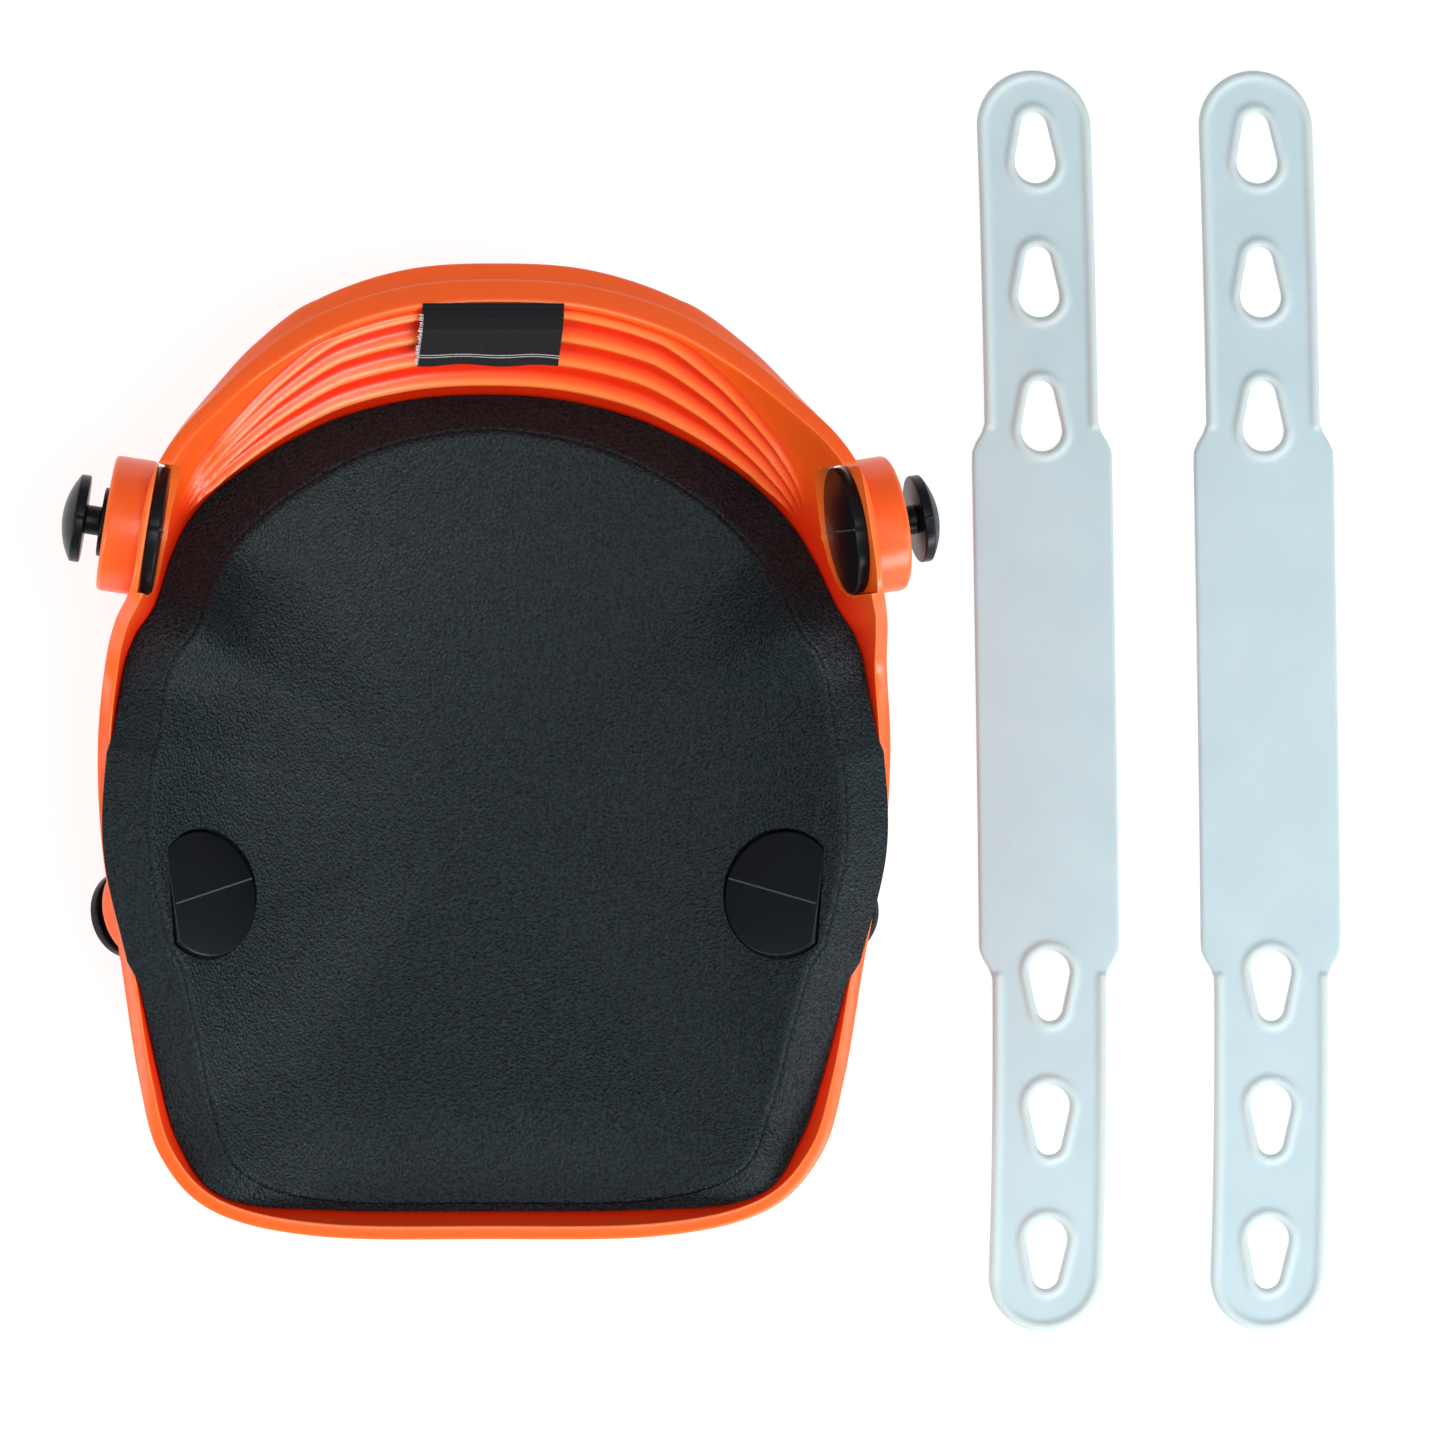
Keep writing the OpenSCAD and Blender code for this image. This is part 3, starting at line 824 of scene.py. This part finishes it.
def noise(nodes, links, scale, detail=4.0, roughness=0.5):
    texture = nodes.new("ShaderNodeTexNoise")
    texture.inputs["Scale"].default_value = scale
    texture.inputs["Detail"].default_value = detail
    texture.inputs["Roughness"].default_value = roughness
    place = nodes.new("ShaderNodeTexCoord")
    links.new(place.outputs["Object"], texture.inputs["Vector"])
    return texture.outputs["Fac"]


def mix_colors(nodes, links, fac, low, high, start=0.3, end=0.7):
    """Blends from one colour to the other while fac goes from start to end."""
    blend = nodes.new("ShaderNodeValToRGB")
    blend.color_ramp.elements[0].position = start
    blend.color_ramp.elements[0].color = (*low, 1)
    blend.color_ramp.elements[1].position = end
    blend.color_ramp.elements[1].color = (*high, 1)
    links.new(fac, blend.inputs["Fac"])
    return blend.outputs["Color"]


def multiplied(nodes, links, first, second):
    blend = nodes.new("ShaderNodeMix")
    blend.data_type = "RGBA"
    blend.blend_type = "MULTIPLY"
    blend.inputs["Factor"].default_value = 1
    links.new(first, blend.inputs["A"])
    links.new(second, blend.inputs["B"])
    return blend.outputs["Result"]


def spread(nodes, links, fac, low, high, start=0.0, end=1.0):
    """Value that goes from low to high while fac goes from start to end."""
    scale = nodes.new("ShaderNodeMapRange")
    scale.inputs["From Min"].default_value = start
    scale.inputs["From Max"].default_value = end
    scale.inputs["To Min"].default_value = low
    scale.inputs["To Max"].default_value = high
    links.new(fac, scale.inputs["Value"])
    return scale.outputs["Result"]


def bump(nodes, links, height, distance, strength=1.0, below=None):
    """Normal for a fine relief, on top of the one below where there is one."""
    node = nodes.new("ShaderNodeBump")
    node.inputs["Distance"].default_value = distance
    node.inputs["Strength"].default_value = strength
    links.new(height, node.inputs["Height"])
    if below is not None:
        links.new(below, node.inputs["Normal"])
    return node.outputs["Normal"]


@functools.cache
def shell_rubber():
    """Moulded orange rubber that lets a little light through, with painted shade, deeper red, in its grooves
    and beside the foam, painted highlights, paler, on its rib crests and sharp edges, faint clouding, a fine
    grain and patches that shine a little more."""
    mat, nodes, links, shader = material("shell_rubber", (0.93, 0.1, 0.006), 0.34)
    shader.inputs["Subsurface Weight"].default_value = 0.06
    shader.inputs["Subsurface Radius"].default_value = (1.0, 0.25, 0.08)
    shader.inputs["Subsurface Scale"].default_value = 0.002
    # Painted light: deep red painted shade in the grooves and beside the foam, plain orange between, pale
    # painted highlight on the rib crests
    tone = nodes.new("ShaderNodeAttribute")
    tone.attribute_name = "painted_shade_and_highlight"
    depth = nodes.new("ShaderNodeValToRGB")
    depth.color_ramp.elements[0].color = (0.80, 0.024, 0.002, 1)
    depth.color_ramp.elements[1].color = (1.0, 0.23, 0.06, 1)
    depth.color_ramp.elements.new(0.5).color = (0.96, 0.112, 0.007, 1)
    links.new(spread(nodes, links, tone.outputs["Fac"], 0, 1, -1), depth.inputs["Fac"])
    # Painted highlight: sharp edges and crests, picked out by their pointiness, are mixed towards a pale
    # orange
    form = nodes.new("ShaderNodeNewGeometry")
    painted_edge_highlight = spread(nodes, links, form.outputs["Pointiness"], 0, 1, 0.515, 0.57)
    body = nodes.new("ShaderNodeMix")
    body.data_type = "RGBA"
    body.inputs["B"].default_value = (1.0, 0.2, 0.03, 1)
    links.new(painted_edge_highlight, body.inputs["Factor"])
    links.new(depth.outputs["Color"], body.inputs["A"])
    cloud = mix_colors(nodes, links, noise(nodes, links, 22, 5), (0.95, 0.92, 0.88), (1, 1, 1))
    links.new(multiplied(nodes, links, body.outputs["Result"], cloud), shader.inputs["Base Color"])
    links.new(spread(nodes, links, noise(nodes, links, 160, 6), 0.24, 0.38), shader.inputs["Roughness"])
    grain = bump(nodes, links, noise(nodes, links, 2600, 2), 0.00005, 0.5)
    links.new(bump(nodes, links, noise(nodes, links, 120, 3), 0.0004, 0.25, grain), shader.inputs["Normal"])
    return mat


@functools.cache
def foam_skin():
    """Closed-cell foam with a pressed leathery skin: small round pebbles over a slow unevenness."""
    mat, nodes, links, shader = material("foam_skin", (0.008, 0.015, 0.018), 0.42)
    shader.inputs["Specular IOR Level"].default_value = 0.18
    cells = nodes.new("ShaderNodeTexVoronoi")
    cells.inputs["Scale"].default_value = 1400
    place = nodes.new("ShaderNodeTexCoord")
    links.new(place.outputs["Object"], cells.inputs["Vector"])
    cloud = noise(nodes, links, 1300, 3, 0.6)
    links.new(mix_colors(nodes, links, cloud, (0.001, 0.004, 0.006), (0.009, 0.018, 0.022), 0.40, 0.60),
              shader.inputs["Base Color"])
    grain = bump(nodes, links, cells.outputs["Distance"], 0.0003, 0.9)
    pores = bump(nodes, links, noise(nodes, links, 1500, 3), 0.0002, 0.6, grain)
    links.new(bump(nodes, links, noise(nodes, links, 45, 3), 0.0004, 0.08, pores), shader.inputs["Normal"])
    links.new(spread(nodes, links, noise(nodes, links, 900, 4), 0.34, 0.52), shader.inputs["Roughness"])
    return mat


@functools.cache
def stud_plastic():
    """Black injection-moulded plastic with a satin gloss, faint flow marks and a parting line painted paler,
    a painted highlight along its ridge.
    """
    black, pale = (0.003, 0.005, 0.007), (0.055, 0.06, 0.065)
    mat, nodes, links, shader = material("stud_plastic", black, 0.26)
    shader.inputs["Specular IOR Level"].default_value = 0.2
    # Painted highlight: the flash line is mixed from black towards pale grey
    flash_highlight = nodes.new("ShaderNodeAttribute")
    flash_highlight.attribute_name = "flash_highlight"
    links.new(mix_colors(nodes, links, flash_highlight.outputs["Fac"], black, pale), shader.inputs["Base Color"])
    links.new(spread(nodes, links, noise(nodes, links, 500, 5), 0.24, 0.36), shader.inputs["Roughness"])
    grain = bump(nodes, links, noise(nodes, links, 2500, 3), 0.00005, 0.5)
    links.new(bump(nodes, links, noise(nodes, links, 220, 4), 0.0001, 0.3, grain), shader.inputs["Normal"])
    return mat


@functools.cache
def strap_silicone():
    """Pale silicone, a little translucent: its raised beads and rims look milkier than the field."""
    mat, nodes, links, shader = material("strap_silicone", (0.56, 0.66, 0.70), 0.5)
    shader.inputs["Specular IOR Level"].default_value = 0.2
    shader.inputs["Subsurface Weight"].default_value = 0.3
    shader.inputs["Subsurface Scale"].default_value = 0.002
    cloud = noise(nodes, links, 60, 4)
    field = mix_colors(nodes, links, cloud, (0.445, 0.570, 0.615), (0.475, 0.600, 0.645))
    place = nodes.new("ShaderNodeTexCoord")
    parts = nodes.new("ShaderNodeSeparateXYZ")
    links.new(place.outputs["Object"], parts.inputs["Vector"])
    raised = spread(nodes, links, parts.outputs["Z"], 0, 1, STRAP_T * MM, (STRAP_T + 0.6 * BEAD_H) * MM)
    milky = nodes.new("ShaderNodeMix")
    milky.data_type = "RGBA"
    links.new(raised, milky.inputs["Factor"])
    links.new(field, milky.inputs["A"])
    milky.inputs["B"].default_value = (0.51, 0.615, 0.63, 1)
    links.new(milky.outputs["Result"], shader.inputs["Base Color"])
    links.new(spread(nodes, links, noise(nodes, links, 300, 4), 0.42, 0.58), shader.inputs["Roughness"])
    links.new(bump(nodes, links, noise(nodes, links, 900, 3), 0.00006, 0.4), shader.inputs["Normal"])
    return mat


@functools.cache
def label_cloth():
    """Black damask: fine weft ribs and warp, with a plain woven double stripe near the lower edge."""
    ground, pale = (0.007, 0.007, 0.009), (0.42, 0.40, 0.38)
    mat, nodes, links, shader = material("label_cloth", ground, 0.8)
    shader.inputs["Sheen Weight"].default_value = 0.05
    shader.inputs["Specular IOR Level"].default_value = 0.1
    place = nodes.new("ShaderNodeTexCoord")
    parts = nodes.new("ShaderNodeSeparateXYZ")
    links.new(place.outputs["Object"], parts.inputs["Vector"])
    weft = wave(nodes, links, place.outputs["Object"], "Z", 900)
    warp = wave(nodes, links, place.outputs["Object"], "X", 700)
    stripes = nodes.new("ShaderNodeValToRGB")
    bands = stripes.color_ramp
    bands.interpolation = "CONSTANT"
    bands.elements[0].color = (*ground, 1)
    bands.elements[1].position = 0.40
    bands.elements[1].color = (*pale, 1)
    for position, color in ((0.46, ground), (0.54, pale), (0.60, ground)):
        bands.elements.new(position).color = (*color, 1)
    low, high = STRIPES_Z
    links.new(spread(nodes, links, parts.outputs["Z"], 0, 1, low * MM, high * MM), stripes.inputs["Fac"])
    links.new(stripes.outputs["Color"], shader.inputs["Base Color"])
    threads = bump(nodes, links, weft, 0.00012, 0.8)
    links.new(bump(nodes, links, warp, 0.0001, 0.6, threads), shader.inputs["Normal"])
    return mat


def wave(nodes, links, vector, direction, scale):
    """Fine parallel threads along one direction."""
    texture = nodes.new("ShaderNodeTexWave")
    texture.bands_direction = direction
    texture.inputs["Scale"].default_value = scale
    texture.inputs["Distortion"].default_value = 0.4
    links.new(vector, texture.inputs["Vector"])
    return texture.outputs["Fac"]


@functools.cache
def thread_cotton():
    """Off-white cotton with a little fuzz."""
    mat, nodes, links, shader = material("thread_cotton", (0.72, 0.72, 0.74), 0.8)
    fuzz = noise(nodes, links, 4000, 2)
    shade = mix_colors(nodes, links, fuzz, (0.5, 0.5, 0.53), (0.82, 0.82, 0.84))
    links.new(shade, shader.inputs["Base Color"])
    return mat


# ---------------------------------------------------------------- camera, light and floor

def make_camera():
    """Looks straight down into the pad from far away, tilted a little about the pad's long axis."""
    tilt = math.radians(6.0)
    distance, view_width = 12.0, 0.3476
    target = Vector((0.0584, 0.009, 0.020))
    camera = bpy.data.cameras.new("camera")
    camera.lens = camera.sensor_width * distance / view_width
    camera.clip_end = 40
    obj = new_object("camera", camera)
    away = Vector((-math.sin(tilt), 0, math.cos(tilt)))
    right = Vector((math.cos(tilt), 0, math.sin(tilt)))
    up = away.cross(right)
    turn = Matrix((right, up, away)).transposed().to_4x4()
    obj.matrix_world = Matrix.Translation(target + away * distance) @ turn
    bpy.context.scene.camera = obj


def area_light(name, place, aim, size, power):
    """Rectangular soft box, placed in metres and turned to a point."""
    light = bpy.data.lights.new(name, "AREA")
    light.shape = "RECTANGLE"
    light.size, light.size_y = size
    light.energy = power
    obj = new_object(name, light)
    obj.location = place
    obj.rotation_euler = (Vector(aim) - Vector(place)).to_track_quat("-Z", "Y").to_euler()


def make_studio():
    """Bright white sweep: a broad low key from the shin end, weaker side lights and a soft top light."""
    aim = (0.05, 0, 0.03)
    area_light("key_low", (0.75, -1.0, 0.5), aim, (0.9, 0.35), 12.5)
    area_light("side_left", (-0.95, -0.4, 0.62), aim, (0.3, 0.9), 5.0)
    area_light("side_right", (1.0, -0.3, 0.7), aim, (0.3, 0.9), 4.0)
    area_light("top", (0.05, 0.0, 1.6), aim, (0.9, 0.7), 10.0)
    world = bpy.data.worlds.new("studio")
    world.use_nodes = True
    background = world.node_tree.nodes["Background"]
    background.inputs["Color"].default_value = (1, 1, 1, 1)
    background.inputs["Strength"].default_value = 0.38
    bpy.context.scene.world = world
    mesh = bpy.data.meshes.new("floor")
    mesh.from_pydata([(-4, -4, 0), (4, -4, 0), (4, 4, 0), (-4, 4, 0)], [], [(0, 1, 2, 3)])
    floor = new_object("floor", mesh)
    floor.location.z = -0.0002
    mat, _, _, shader = material("floor_paper", (0.3, 0.3, 0.3), 0.9)
    shader.inputs["Emission Color"].default_value = (1, 1, 1, 1)
    shader.inputs["Emission Strength"].default_value = 0.78
    floor.data.materials.append(mat)
    bpy.context.scene.view_settings.view_transform = "Standard"


make_camera()
make_studio()
make_shell()
make_foam()
make_label()
for side, name in ((-1, "left"), (1, "right")):
    make_stud("stud_upper_" + name, EAR_STEM, at_ear, side, "upper_stud_" + name, False)
    make_stud("stud_lower_" + name, SIDE_STEM, at_side, side, "pad", True)
make_strap("strap_one", "first_strap")
make_strap("strap_two", "second_strap")
